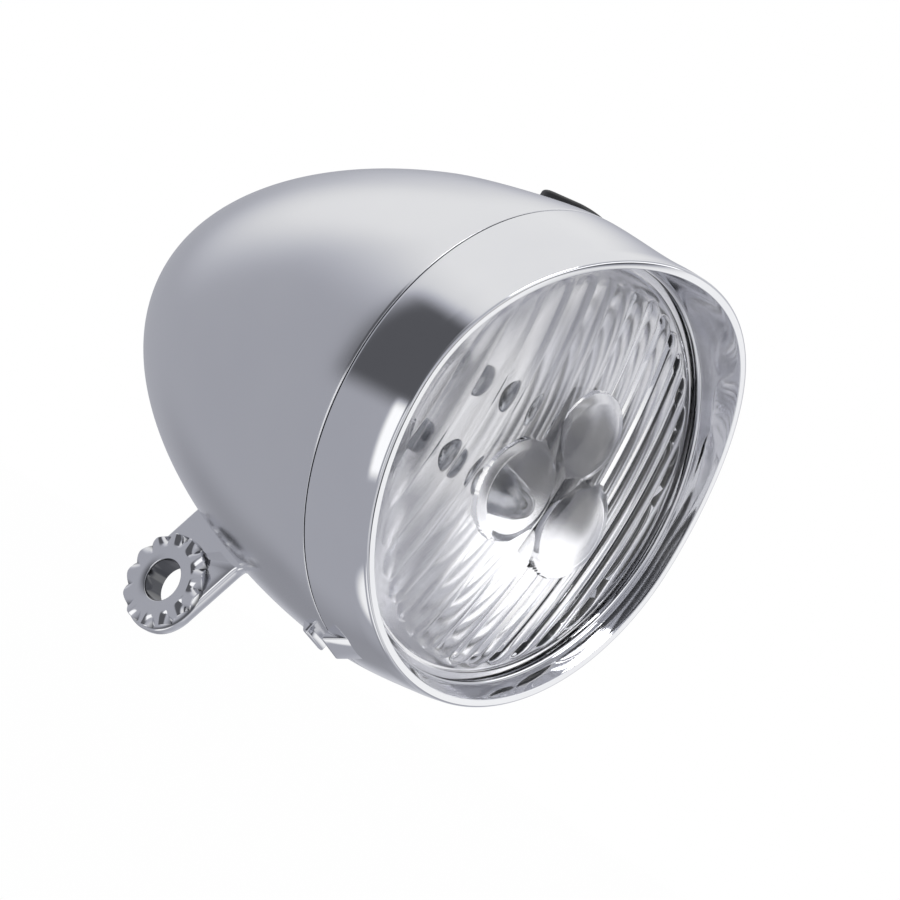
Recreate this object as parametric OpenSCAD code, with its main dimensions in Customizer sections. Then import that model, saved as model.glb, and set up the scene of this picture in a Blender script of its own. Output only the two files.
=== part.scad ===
// Bullet-shaped battery headlight for a bicycle, hung on a toothed lug.
// Millimetres. +Z is up, the beam leaves along -Y, and the origin is the
// centre of the lug's bolt hole in the middle plane of the lamp.

/* [Body] */
// largest outside radius of the shell
body_r = 36.17; // [32:0.01:42]
// room between the tray's end and the inside of the tail
tail_room = 8; // [6:0.1:12]
// distance of the widest ring behind the seam
crown_y = 4.3; // [2:0.1:8]
// fullness of the tail, as the power of its curve
tail_power = 1.73; // [1.5:0.01:2.4]
// how much the bezel narrows towards its rim
rim_taper = 1.72; // [1:0.01:2.5]
// wall of the shell
wall = 1.8; // [1.2:0.1:2.4]

/* [Bezel] */
// depth of the bezel in front of the seam, at the sides
rim_depth = 11.44; // [10:0.1:14]
// radius of the arc that cuts the peak at the top
peak_arc = 93; // [80:1:140]
// wall of the rim lip
rim_wall = 1.35; // [1:0.05:2]
// gap at the seam
seam_gap = 0.2; // [0.1:0.05:0.4]
// length of the spigot that enters the shell
spigot_l = 3; // [2:0.1:3.3]
// wall of the spigot
spigot_wall = 1.2; // [0.9:0.1:1.6]
// radial gap between spigot and shell
spigot_gap = 0.37; // [0.3:0.01:0.6]
// width of the shoulder that the lens rests on
shoulder = 0.75; // [0.5:0.05:1.2]

/* [Lens] */
// distance of the lens edge behind the rim
lens_set = 3.44; // [2.6:0.01:4]
// rise of the lens dome at its centre
lens_rise = 4.8; // [3:0.1:6]
// thickness of the lens
lens_t = 2; // [1.6:0.1:2.2]
// pitch of the upright flutes
flute_pitch = 3.95; // [3:0.05:5]
// depth of the grooves between flutes
flute_cut = 0.45; // [0.2:0.05:0.7]
// radius of the two lower round windows
window_r = 7.7; // [6:0.1:8.2]
// radius of the upper round window
window_top_r = 6.8; // [5:0.1:7]
// rise of each window above the dome
window_rise = 1.1; // [0.5:0.1:1.5]

/* [Light unit] */
// distance of each lower lamp from the beam axis
led_ring = 8.4; // [8:0.1:9]
// radius of each lamp
led_r = 2.5; // [2:0.1:2.6]
// depth of the reflector bowl behind its flange
bowl_depth = 10; // [8:0.1:10.5]
// gap between the bowl's floor and the lamp board
board_gap = 4.5; // [4:0.1:5]
// gap between the lamp board's edge and the switch board
edge_gap = 0.4; // [0.3:0.05:1]
// thickness of the boards
board_t = 1.6; // [1.2:0.1:1.6]
// distance of the board screws from the board's edge
screw_inset = 3.5; // [3.2:0.1:4]
// radius of a board screw
screw_r = 1; // [0.9:0.05:1.1]
// radius of a board screw's head
screw_head_r = 2; // [1.7:0.05:2.2]
// height of a board screw's head
screw_head_h = 1.4; // [1:0.05:1.5]

/* [Battery tray] */
// radius of one cell
cell_r = 5.25; // [5:0.05:5.3]
// length of one cell with its nub
cell_l = 44.5; // [43:0.1:44.6]
// half of the gap between two cells
cell_gap = 0.64; // [0.4:0.01:1]
// thickness of the tray's front plate
plate_t = 1.4; // [1.2:0.1:1.6]
// gap for the leaf contacts in front of the cells
leaf_gap = 1.6; // [1.4:0.1:2]

/* [Button] */
// distance of the button behind the seam
button_y = 12.1; // [12:0.1:12.6]
// half width of the oblong rubber button
button_half = 3.5; // [3.2:0.1:3.6]
// half length of the oblong rubber button
button_reach = 6; // [5.6:0.1:6.2]
// height of the button's top above the body's radius
button_proud = 1.05; // [0.8:0.01:1.6]
// depth of the guide plate's underside below the button's top
guide_depth = 9.5; // [9.3:0.1:10]
// travel of the button
button_travel = 0.5; // [0.3:0.05:0.55]
// radial gap round the button
button_gap = 0.3; // [0.25:0.05:0.4]
// radius of the actuator pin
pin_r = 1.5; // [1.2:0.1:1.8]
// radial fit of the pin and the plunger
fit = 0.05; // [0.03:0.01:0.08]

/* [Lug] */
// diameter of the bolt hole
bolt_d = 6.6; // [6.4:0.1:6.8]
// distance of the bolt hole behind the seam
lug_back = 40.4; // [38:0.1:43]
// distance of the bolt hole below the beam axis
lug_drop = 41; // [40:0.1:44]
// lean of the arm from upright
arm_lean = 21.8; // [15:0.1:28]
// half width of the arm
arm_half = 7.1; // [6.8:0.1:7.6]
// thickness of the arm
arm_t = 2.3; // [2:0.1:3]
// height of the toothed ring above the arm
ring_h = 1.2; // [1.1:0.1:1.6]
// outside radius of the toothed ring
ring_r = 7.4; // [7:0.1:7.4]
// radius where the teeth begin
teeth_in = 5.2; // [4.8:0.1:5.6]
// depth of the teeth at the outside
teeth_cut = 1.05; // [0.7:0.05:1.05]
// number of teeth
teeth = 13; // [8:1:24]
// height of the rear boss
boss_h = 0.8; // [0.4:0.1:1.2]
// radius of the rear boss
boss_r = 5.2; // [4.6:0.1:6]
// width of the pry lips beside the seam
pry_w = 5.2; // [4:0.1:7]
// how far the pry lips stand out
pry_proud = 1.28; // [0.8:0.01:1.8]

/* [Hidden] */
fn = 96;
big = 60;
nose_run = 21;

chrome = [0.72, 0.72, 0.75];
clear = [0.88, 0.92, 0.95, 0.35];
rubber = [0.10, 0.10, 0.11];
black_plastic = [0.13, 0.13, 0.14];
metallised = [0.80, 0.80, 0.83];
board_green = [0.10, 0.36, 0.20];
epoxy = [0.94, 0.93, 0.84];
steel = [0.66, 0.67, 0.70];
brass = [0.80, 0.66, 0.36];
white_plastic = [0.90, 0.90, 0.88];
cell_jacket = [0.16, 0.20, 0.30];

// stations and radii that follow from the sizes above
rim_r = body_r - rim_taper;
lens_edge = rim_depth - lens_set;
cell_ring = (cell_r + cell_gap) * 2 / sqrt(3);
cell_stack = leaf_gap + cell_l;

// outside radius of the lamp at station y, positive behind the seam
function shell_r(y) = y >= crown_y
    ? body_r * sqrt(max(0, 1 - pow((y - crown_y) / (body_l - crown_y), tail_power)))
    : body_r - (body_r - rim_r) * pow(sin(90 * min(1, (crown_y - y) / nose_run)), 2);

// inside radius of the shell
bore_r = body_r - wall;
function cavity_r(y) = bore_r
    * sqrt(max(0, 1 - pow((y - crown_y) / (bore_l - crown_y), tail_power)));

// distance of the top lamp from the beam axis, less than the others'
top_ring = led_ring - 0.8;
function ring_at(a) = a == 90 ? top_ring : led_ring;

// radii of the parts that stack in the bezel
spigot_r = bore_r - spigot_gap;
seat_r = spigot_r - spigot_wall;
lens_r = seat_r - 0.1;
mouth_r = seat_r - 0.05 - shoulder;
peak = peak_arc - sqrt(peak_arc * peak_arc - rim_r * rim_r);
rim_front = rim_depth + peak + 0.6;
flutes = floor((mouth_r - 4) / flute_pitch);
dome_r = (mouth_r * mouth_r + lens_rise * lens_rise) / (2 * lens_rise);
lens_back = -lens_edge + lens_t + 0.1;
flange_t = 1.2;
flange_back = lens_back + flange_t;
seal_t = 1;
seal_back = flange_back + seal_t;
clamp_t = 1.9;
ring_back = seal_back + clamp_t;
nib_t = 0.9;

// reflector bowl as a parabola
bowl_r = mouth_r - 1.6;
ring_in = bowl_r + 1.2;
bowl_y = lens_back + bowl_depth;
skin = 1.2;
function bowl_back(r) = bowl_y - bowl_depth * (r * r) / (bowl_r * bowl_r);
led_angles = [90, 210, 330];
screw_angles = [30, 150, 270];

// stations behind the bowl
board_y = bowl_y + board_gap;
board_back = board_y + board_t;
plate_back = board_back + plate_t;
cell_front = plate_back + leaf_gap;
cell_back = plate_back + cell_stack;
contact_t = 0.6;
end_front = cell_back + contact_t;
end_t = 1.4;
end_back = end_front + end_t;
bore_l = end_back + tail_room;
body_l = bore_l + wall;
plate_r = cell_ring + cell_r + 0.95;
contact_side = 5.2;

// button and switch
button_run = button_reach - button_half;
hole_r = button_half + button_gap;
lip_r = button_half + 1;
crown_across = 12;
crown_along = 30;
button_top = body_r + button_proud;
collar_in = lip_r + 0.4;
collar_out = collar_in + 1;
guide_t = 1.2;
guide_bottom = button_top - guide_depth;
guide_top = guide_bottom + guide_t;
pin_bottom = guide_bottom - 0.3;
plunger_top = pin_bottom - fit;
head_bottom = guide_top + button_travel + 0.4;
lip_bottom = head_bottom + 1.2;
switch_top = plunger_top - button_travel - 0.45;
plunger_in = 1.75;
switch_side = 6.2;
switch_h = 3.4;
shelf_top = switch_top - switch_h - board_t;
shelf_t = 1.5;
shelf_back = button_y + switch_side / 2 + 0.7;
switch_front = button_y - switch_side / 2 - 0.3;
shelf_half = switch_side / 2 + 3.9;
board_r = shelf_top - edge_gap;
screw_ring = board_r - screw_inset;
pin_head_r = pin_r + 2.5;
pin_grip = 2.4;
board_inset = 1;
rib_half = 3;
cut_past = 2;
screw_in = board_t + plate_t + 3;
plunger_r = pin_r + 0.2;
chip_l = 5;
chip_w = 4;
chip_h = 1.6;
resistor_x = 2.7;
resistor_z = 6.6;

// arm and lug
arm_face = -arm_t / 2;
ring_face = arm_face - ring_h;
boss_face = arm_t / 2 + boss_h;
end_shift = 0.8;
arm_l = lug_drop / cos(arm_lean);
fillet_r = 1.9;

// point of the arm's front edge at distance t from the bolt hole
function edge_at(t) = [lug_back - arm_half * cos(arm_lean) - t * sin(arm_lean),
                       -lug_drop - arm_half * sin(arm_lean) + t * cos(arm_lean)];

// distance at which that edge enters the shell, by halving
function edge_hit(a, b, n) =
    let (m = (a + b) / 2, q = edge_at(m))
    n == 0 ? m : -q[1] < shell_r(q[0]) ? edge_hit(a, m, n - 1) : edge_hit(m, b, n - 1);
fillet_corner = edge_at(edge_hit(0, arm_l, 24));
fillet_slope = (shell_r(fillet_corner[0] + 0.1) - shell_r(fillet_corner[0] - 0.1)) / 0.2;
tooth_slope = atan(teeth_cut / (ring_r - teeth_in));
tooth_half = atan(0.92 * PI * ring_r / teeth / teeth_cut);

// pry lips at the seam, low on the left
rear_lip_turn = 12.6;
front_lip_turn = 14.7;
pry_out = body_r + pry_proud;
pry_root = body_r - 0.87;
rear_lip_y = 3.6;

// moves the lamp so that the bolt hole is at the origin
module hung()
{
    translate([0, -lug_back, lug_drop])
        children();
}

// turns a profile of [radius, station] points about the beam axis
module spin(pts)
{
    rotate([-90, 0, 0])
        rotate_extrude($fn = fn)
            polygon(pts);
}

// round bar along the beam axis
module bar(x, z, r, a, b)
{
    translate([x, a, z])
        rotate([-90, 0, 0])
            cylinder(r = r, h = b - a, $fn = fn);
}

// round bar across the lamp
module cross_bar(y, z, r, a, b)
{
    translate([a, y, z])
        rotate([0, 90, 0])
            cylinder(r = r, h = b - a, $fn = fn);
}

// upright round bar
module post(x, y, r, a, b)
{
    translate([x, y, a])
        cylinder(r = r, h = b - a, $fn = fn);
}

// upright oblong bar at the button's place, r is its half width
module slot(r, a, b)
{
    translate([0, button_y, a])
        linear_extrude(height = b - a)
            union() {
                translate([0, button_run])
                    circle(r = r, $fn = fn);
                translate([0, -button_run])
                    circle(r = r, $fn = fn);
                translate([-r, -button_run])
                    square([2 * r, 2 * button_run]);
            }
}

module tail_solid()
{
    spin(concat([[0, 0], [shell_r(0), 0], [shell_r(1.5), 1.5], [shell_r(3), 3]],
        [for (t = [0 : 2.25 : 87.75])
            let (y = crown_y + (body_l - crown_y) * sin(t)) [shell_r(y), y]],
        [[0, body_l]]));
}

module tail_cavity()
{
    spin(concat([[0, -1], [bore_r, -1]],
        [for (t = [0 : 4.5 : 85.5])
            let (y = crown_y + (bore_l - crown_y) * sin(t)) [cavity_r(y), y]],
        [[0, bore_l]]));
}

// round-ended arm outline around the bolt hole
module arm()
{
    translate([arm_face, lug_back, -lug_drop])
        rotate([arm_lean, 0, 0])
            rotate([0, 90, 0])
                linear_extrude(height = arm_t)
                    union() {
                        translate([end_shift, 0])
                            circle(r = arm_half, $fn = fn);
                        translate([-arm_l, -arm_half])
                            square([arm_l + end_shift, 2 * arm_half]);
                    }
}

// fillet in the corner where the arm's front edge meets the shell
module arm_fillet()
{
    down = [sin(arm_lean), -cos(arm_lean)];
    ahead = [-1, fillet_slope] / sqrt(1 + fillet_slope * fillet_slope);
    corner = fillet_corner - 0.3 * (down + ahead);
    reach = fillet_r;
    centre = corner + reach * (down + ahead);
    translate([arm_face, 0, 0])
        rotate([90, 0, 90])
            linear_extrude(height = arm_t)
                polygon(concat([corner - 0.6 * (down + ahead), corner + reach * down],
                    [for (t = [10 : 10 : 80])
                        centre - reach * (cos(t) * ahead + sin(t) * down)],
                    [corner + reach * ahead]));
}

// one radial groove between two teeth
module tooth_gap(a)
{
    rotate([0, 0, a])
        translate([teeth_in, 0, 0])
            rotate([0, tooth_slope, 0])
                rotate([0, 90, 0])
                    linear_extrude(height = 4)
                        polygon([[0, 0],
                                 [-4, 4 * tan(tooth_half)],
                                 [-4, -4 * tan(tooth_half)]]);
}

module toothed_ring()
{
    translate([arm_face, lug_back, -lug_drop])
        rotate([0, -90, 0])
            difference() {
                cylinder(r = ring_r, h = ring_h, $fn = fn);
                translate([0, 0, ring_h])
                    for (i = [0 : teeth - 1])
                        tooth_gap(i * 360 / teeth + 7);
            }
}

// raised lip beside the seam for prising the front off
module pry_lip(turn, profile)
{
    rotate([0, turn, 0])
        translate([-pry_w / 2, 0, 0])
            rotate([90, 0, 90])
                linear_extrude(height = pry_w)
                    polygon(profile);
}

module button_collar()
{
    intersection() {
        tail_solid();
        difference() {
            slot(collar_out, guide_top, big);
            slot(collar_in, guide_top - 1, big);
        }
    }
}

module rear_shell()
{
    color(chrome)
        hung()
            difference() {
                union() {
                    difference() {
                        union() {
                            tail_solid();
                            arm();
                            arm_fillet();
                            pry_lip(rear_lip_turn,
                                [[rear_lip_y, -pry_root], [rear_lip_y, -pry_out],
                                 [rear_lip_y + 0.9, -pry_out],
                                 [rear_lip_y + 2.6, -pry_root]]);
                        }
                        tail_cavity();
                    }
                    toothed_ring();
                    cross_bar(lug_back, -lug_drop, boss_r, arm_t / 2 - 0.2, boss_face);
                    button_collar();
                }
                cross_bar(lug_back, -lug_drop, bolt_d / 2, ring_face - 1, boss_face + 1);
                slot(hole_r, lip_bottom + 1, big);
            }
}

// plate that closes the collar and guides the pin
module button_guide()
{
    color(black_plastic)
        hung()
            difference() {
                slot(collar_out, guide_bottom, guide_top);
                post(0, button_y, pin_r + fit, guide_bottom - 1, guide_top + 1);
            }
}

// oblong cap with a lip below, crowned both ways
module button_cap()
{
    color(rubber)
        hung()
            difference() {
                intersection() {
                    union() {
                        slot(lip_r, lip_bottom, lip_bottom + 0.9);
                        slot(button_half, lip_bottom + 0.5, button_top + 1);
                    }
                    bar(0, button_top - crown_across, crown_across, -big, big);
                    cross_bar(button_y, button_top - crown_along, crown_along, -big, big);
                }
                post(0, button_y, pin_r, lip_bottom - 1, lip_bottom + pin_grip);
            }
}

module button_pin()
{
    color(white_plastic)
        hung()
            union() {
                post(0, button_y, pin_r, pin_bottom, lip_bottom + pin_grip);
                post(0, button_y, pin_head_r, head_bottom, lip_bottom);
            }
}

module bezel()
{
    color(chrome)
        hung()
            difference() {
                union() {
                    spin(concat(
                        [[seat_r, spigot_l], [spigot_r - 0.3, spigot_l],
                         [spigot_r, spigot_l - 0.6], [spigot_r, -seam_gap]],
                        [for (y = [seam_gap : 1.1 : rim_front])
                            [shell_r(-y), -y]],
                        [[rim_r, -rim_front],
                         [rim_r - rim_wall, -rim_front],
                         [rim_r - rim_wall + 0.1, -lens_edge - 2.6],
                         [mouth_r + 0.65, -lens_edge - 1],
                         [mouth_r, -lens_edge - 0.2],
                         [mouth_r, -lens_edge],
                         [seat_r, -lens_edge]]));
                    for (a = screw_angles)
                        rotate([0, a, 0])
                            translate([seat_r - 0.9, ring_back + 0.05, -2])
                                cube([1.5, nib_t, 4]);
                    intersection() {
                        pry_lip(front_lip_turn,
                            [[-seam_gap, -pry_root], [-seam_gap, -pry_out],
                             [-seam_gap - 0.4, -pry_out], [-4.4, -pry_root]]);
                        translate([-big, -big, -big])
                            cube([2 * big, big - seam_gap, 2 * big]);
                    }
                }
                cross_bar(-rim_depth - peak_arc, 0, peak_arc, -big, big);
                translate([-big, -rim_depth - big, -big])
                    cube([2 * big, big, big]);
            }
}

// solid ball cap that swells out of the dome as a round window
module window(x, z, r)
{
    s = (r * r + window_rise * window_rise) / (2 * window_rise);
    base = -lens_edge - lens_rise + dome_r - sqrt(dome_r * dome_r - x * x - z * z) + 0.25;
    intersection() {
        translate([x, base - window_rise + s, z])
            sphere(r = s, $fn = fn);
        bar(x, z, r, base - 4, base + 1.4);
    }
}

module lens()
{
    centre = -lens_edge - lens_rise + dome_r;
    color(clear)
        hung()
            difference() {
                union() {
                    difference() {
                        union() {
                            bar(0, 0, lens_r, -lens_edge, lens_back);
                            intersection() {
                                translate([0, centre, 0])
                                    sphere(r = dome_r, $fn = fn);
                                bar(0, 0, mouth_r - 0.05, -lens_edge - lens_rise - 1, lens_back);
                            }
                        }
                        intersection() {
                            bar(0, 0, mouth_r - 2.8, -big, 0);
                            union() {
                                for (i = [-flutes : flutes])
                                    let (x = i * flute_pitch,
                                         q = sqrt(dome_r * dome_r - x * x))
                                    translate([x, centre, 0])
                                        rotate([0, 90, 0])
                                            rotate_extrude($fn = fn)
                                                polygon([[q - flute_cut, 0],
                                                         [q + 0.2, -flute_cut - 0.2],
                                                         [q + 0.2, flute_cut + 0.2]]);
                            }
                        }
                    }
                    window(led_ring * cos(210), led_ring * sin(210), window_r);
                    window(led_ring * cos(330), led_ring * sin(330), window_r);
                    window(0, top_ring, window_top_r);
                }
                intersection() {
                    translate([0, centre, 0])
                        sphere(r = dome_r - lens_t, $fn = fn);
                    bar(0, 0, mouth_r - 1.2, -big, 0);
                }
            }
}

module lens_seal()
{
    color(rubber)
        hung()
            difference() {
                bar(0, 0, lens_r, flange_back, seal_back);
                bar(0, 0, mouth_r - 0.6, flange_back - 1, seal_back + 1);
            }
}

module reflector()
{
    steps = [for (k = [0 : 12]) bowl_r * (1 - k / 12)];
    color(metallised)
        hung()
            difference() {
                union() {
                    spin(concat(
                        [[lens_r, lens_back], [lens_r, flange_back],
                         [bowl_r + 0.9, flange_back]],
                        [for (r = steps) [r, bowl_back(r) + skin + 0.3]],
                        [for (k = [12 : -1 : 0])
                            [bowl_r * (1 - k / 12), bowl_back(bowl_r * (1 - k / 12))]]));
                    for (a = led_angles)
                        bar(ring_at(a) * cos(a), ring_at(a) * sin(a), led_r + 1.2,
                            bowl_back(led_ring) + 0.4, bowl_y + 2 * skin);
                    for (a = screw_angles)
                        bar(screw_ring * cos(a), screw_ring * sin(a), 2.6,
                            bowl_back(screw_ring) + 0.4, board_y);
                }
                for (a = led_angles)
                    bar(ring_at(a) * cos(a), ring_at(a) * sin(a), led_r + 0.15,
                        bowl_back(led_ring) - cut_past, board_y);
                for (a = screw_angles)
                    bar(screw_ring * cos(a), screw_ring * sin(a), screw_r + 0.03,
                        plate_back - screw_in - 0.6, board_y + 1);
            }
}

module retaining_ring()
{
    color(black_plastic)
        hung()
            difference() {
                bar(0, 0, seat_r - 0.15, seal_back, ring_back);
                bar(0, 0, ring_in, seal_back - 1, ring_back + 1);
            }
}

module led_board()
{
    color(board_green)
        hung()
            difference() {
                bar(0, 0, board_r, board_y, board_back);
                for (a = screw_angles)
                    bar(screw_ring * cos(a), screw_ring * sin(a), screw_r + 0.2,
                        board_y - 1, board_back + 1);
            }
}

// round-topped lamp with its base flange on the board
module led(a)
{
    color(epoxy)
        hung()
            translate([ring_at(a) * cos(a), 0, ring_at(a) * sin(a)])
                spin(concat([[0, board_y], [led_r + 0.2, board_y],
                             [led_r + 0.2, board_y - 1], [led_r, board_y - 1],
                             [led_r, board_y - 5.6]],
                    [for (t = [15 : 15 : 75])
                        [led_r * cos(t), board_y - 5.6 - led_r * sin(t)]],
                    [[0, board_y - 5.6 - led_r]]));
}

module led_top()
{
    led(led_angles[0]);
}

module led_left()
{
    led(led_angles[1]);
}

module led_right()
{
    led(led_angles[2]);
}

// three screws through the tray's ears and the board
module board_screws()
{
    color(steel)
        hung()
            for (a = screw_angles)
                translate([screw_ring * cos(a), plate_back, screw_ring * sin(a)])
                    difference() {
                        union() {
                            spin([[0, 0], [screw_head_r, 0],
                                  [screw_head_r, screw_head_h - 0.5],
                                  [screw_head_r - 0.5, screw_head_h - 0.05],
                                  [0, screw_head_h]]);
                            bar(0, 0, screw_r, -screw_in, 0.1);
                        }
                        translate([-1.2, screw_head_h - 0.6, -0.22])
                            cube([2.4, 1, 0.44]);
                        translate([-0.22, screw_head_h - 0.6, -1.2])
                            cube([0.44, 1, 2.4]);
                    }
}

module driver_chip()
{
    color(black_plastic)
        hung()
            translate([-chip_l / 2, board_y - chip_h, -chip_w / 2])
                cube([chip_l, chip_h, chip_w]);
}

module resistor()
{
    color(brass)
        hung()
            translate([-resistor_x, board_y - 1.1, -resistor_z])
                rotate([0, 90, 0])
                    rotate_extrude($fn = 48)
                        polygon([[0, 0], [1.1, 0.3], [1.1, 1.4], [0.9, 1.8],
                                 [0.9, 3.6], [1.1, 4], [1.1, 5.1], [0, 5.4]]);
}

// carrier for the three cells, screwed behind the lamp board
module battery_tray()
{
    color(black_plastic)
        hung()
            difference() {
                union() {
                    bar(0, 0, plate_r, board_back, plate_back);
                    for (a = screw_angles)
                        rotate([0, -a, 0]) {
                            translate([0, board_back, -rib_half])
                                cube([screw_ring, plate_t, 2 * rib_half]);
                            bar(screw_ring, 0, rib_half, board_back, plate_back);
                        }
                    translate([-shelf_half, board_back, 0])
                        cube([2 * shelf_half, plate_t, shelf_top]);
                    translate([-shelf_half, board_back, shelf_top - shelf_t])
                        cube([2 * shelf_half, shelf_back - board_back, shelf_t]);
                    difference() {
                        bar(0, 0, cell_ring + 3.2, plate_back - 0.1, end_front + 0.1);
                        for (a = led_angles)
                            bar(cell_ring * cos(a), cell_ring * sin(a), cell_r + 0.15,
                                plate_back, end_front);
                    }
                    bar(0, 0, plate_r - 0.6, end_front, end_front + end_t);
                }
                for (a = screw_angles)
                    bar(screw_ring * cos(a), screw_ring * sin(a), screw_r + 0.2,
                        board_back - 1, plate_back + 1);
            }
}

module switch_board()
{
    color(board_green)
        hung()
            translate([board_inset - shelf_half, switch_front, shelf_top])
                cube([2 * (shelf_half - board_inset), shelf_back - switch_front, board_t]);
}

module switch_body()
{
    s = switch_side;
    color(black_plastic)
        hung()
            difference() {
                translate([-s / 2, button_y - s / 2, shelf_top + board_t])
                    cube([s, s, switch_h]);
                post(0, button_y, plunger_r + fit,
                     switch_top - plunger_in - button_travel - 0.15, switch_top + 1);
            }
}

module switch_plunger()
{
    color(white_plastic)
        hung()
            post(0, button_y, plunger_r, switch_top - plunger_in, plunger_top);
}

// dry cell, nub behind, turned end for end when flip is 1
module cell(a, flip)
{
    l = cell_l;
    color(cell_jacket)
        hung()
            translate([cell_ring * cos(a), flip == 1 ? cell_back : cell_front,
                       cell_ring * sin(a)])
                rotate([0, 0, flip == 1 ? 180 : 0])
                    spin([[0, 0], [4.2, 0], [4.2, 0.25], [4.95, 0.25], [cell_r, 0.6],
                          [cell_r, l - 1.3], [cell_r - 0.3, l - 0.9], [1.9, l - 0.8],
                          [1.9, l], [0, l]]);
}

module cell_top()
{
    cell(led_angles[0], 0);
}

module cell_left()
{
    cell(led_angles[1], 1);
}

module cell_right()
{
    cell(led_angles[2], 0);
}

// bent leaf between the front plate and each cell
module front_contacts()
{
    color(steel)
        hung()
            for (a = led_angles)
                translate([cell_ring * cos(a) - 2, plate_back, cell_ring * sin(a)])
                    rotate([90, 0, 90])
                        linear_extrude(height = 4)
                            polygon([[0, -3.2], [0.3, -3.2], [0.3, 1.6],
                                     [leaf_gap, -0.9], [leaf_gap, -0.4],
                                     [leaf_gap - 0.3, 0.2], [0.4, 2.4], [0, 2.4]]);
}

module rear_contacts()
{
    color(steel)
        hung()
            for (a = led_angles)
                translate([cell_ring * cos(a) - contact_side / 2, cell_back,
                           cell_ring * sin(a) - contact_side / 2])
                    cube([contact_side, contact_t, contact_side]);
}

rear_shell();
button_guide();
button_cap();
button_pin();
bezel();
lens();
lens_seal();
reflector();
retaining_ring();
led_board();
led_top();
led_left();
led_right();
board_screws();
driver_chip();
resistor();
battery_tray();
switch_board();
switch_body();
switch_plunger();
cell_top();
cell_left();
cell_right();
front_contacts();
rear_contacts();
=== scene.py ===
import math

import bmesh
import bpy
import numpy as np
from mathutils import Matrix, Vector


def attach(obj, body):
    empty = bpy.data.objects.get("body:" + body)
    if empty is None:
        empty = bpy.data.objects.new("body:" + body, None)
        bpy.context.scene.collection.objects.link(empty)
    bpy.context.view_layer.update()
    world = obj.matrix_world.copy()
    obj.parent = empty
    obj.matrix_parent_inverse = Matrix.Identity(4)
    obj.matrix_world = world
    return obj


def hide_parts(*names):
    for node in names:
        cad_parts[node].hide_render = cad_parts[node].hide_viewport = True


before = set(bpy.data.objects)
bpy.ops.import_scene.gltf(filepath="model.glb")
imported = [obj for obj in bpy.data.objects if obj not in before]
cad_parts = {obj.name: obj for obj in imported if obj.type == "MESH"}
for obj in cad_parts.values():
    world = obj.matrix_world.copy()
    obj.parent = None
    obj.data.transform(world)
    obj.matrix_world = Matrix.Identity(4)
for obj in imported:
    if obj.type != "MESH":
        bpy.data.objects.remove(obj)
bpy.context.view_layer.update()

# Sizes in millimetres, in the lamp's own frame: the beam axis is Y, the seam
# is at y = 0 and the tail is at positive y. row() turns them into the part's
# frame in metres, which has its origin at the lug's bolt hole.
LUG_BACK, LUG_DROP = 40.4, 41.0
BODY_R, BODY_L, CROWN_Y, TAIL_POWER = 36.17, 69.5, 4.3, 1.73
RIM_R, NOSE_RUN = 34.45, 21.0
WALL, SEAM_GAP = 1.8, 0.2
BORE_R, BORE_L = BODY_R - WALL, BODY_L - WALL
SPIGOT_R, SEAT_R, MOUTH_R, LENS_R = 34.0, 32.8, 32.0, 32.7
RIM_DEPTH, PEAK_ARC, RIM_WALL = 11.44, 93.0, 1.35
ROLL_RUN, ROLL_DROP = 2.6, 0.2
LENS_EDGE, LENS_RISE, LENS_T = 8.0, 4.8, 2.0
DOME_R = (MOUTH_R ** 2 + LENS_RISE ** 2) / (2 * LENS_RISE)
DOME_C = -LENS_EDGE - LENS_RISE + DOME_R
PITCH, FLUTE_RISE, FLUTE_END, TIP_RUN = 3.95, 0.4, 29.3, 1.5
WINDOWS = [(-7.27, -4.2, 7.7), (7.27, -4.2, 7.7), (0.0, 7.6, 6.8)]
WINDOW_EDGE, WINDOW_STEP, WINDOW_RISE = 1.4, 0.6, 0.7
BUTTON_Y, BUTTON_RUN, BUTTON_HALF, BUTTON_TOP = 12.1, 2.5, 3.5, 37.1
PAD_DROP, PAD_TURN, PAD_REACH, PAD_POWER = 0.55, 32.0, 12.0, 1.5
HOLE_HALF, COLLAR_IN, COLLAR_OUT = 3.8, 4.9, 5.9
FLANGE_FRONT, FLANGE_BACK = -5.85, -4.7
BOWL_R, BOWL_Y, BOWL_D = 30.4, 4.1, 9.95
ARM_LEAN, ARM_HALF, ARM_T = math.radians(21.8), 7.1, 2.3
RING_R, RING_FACE, TEETH_IN, TEETH_CUT, TEETH = 7.4, -2.35, 5.2, 1.05, 13
BOSS_R, BOSS_FACE, BORE = 5.2, 1.95, 3.3
SHARP_ANGLE = 35
WELD, TINY_EDGE = 2e-6, 1e-7  # metres


def row(points):
    """Lamp millimetres to the part's metres."""
    p = np.asarray(points, float)
    return (p + np.array([0.0, -LUG_BACK, LUG_DROP])) * 0.001


def quarter(count):
    """Angles from 0 to a right angle."""
    return np.linspace(0, math.pi / 2, count)


def full_turn(count):
    """Angles once round, without the repeated last one."""
    return np.linspace(0, 2 * math.pi, count + 1)[:-1]


def shell_r(y):
    """Outer radius of the shell and bezel at station y."""
    y = np.asarray(y, float)
    t = np.clip((y - CROWN_Y) / (BODY_L - CROWN_Y), 0, 1)
    tail = BODY_R * np.sqrt(np.maximum(0, 1 - t ** TAIL_POWER))
    s = np.clip((CROWN_Y - y) / NOSE_RUN, 0, 1)
    nose = BODY_R - (BODY_R - RIM_R) * np.sin(math.pi / 2 * s) ** 2
    return np.where(y >= CROWN_Y, tail, nose)


def cavity_r(y):
    """Radius of the shell's inside at station y."""
    y = np.asarray(y, float)
    t = np.clip((y - CROWN_Y) / (BORE_L - CROWN_Y), 0, 1)
    return BORE_R * np.sqrt(np.maximum(0, 1 - t ** TAIL_POWER))


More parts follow.
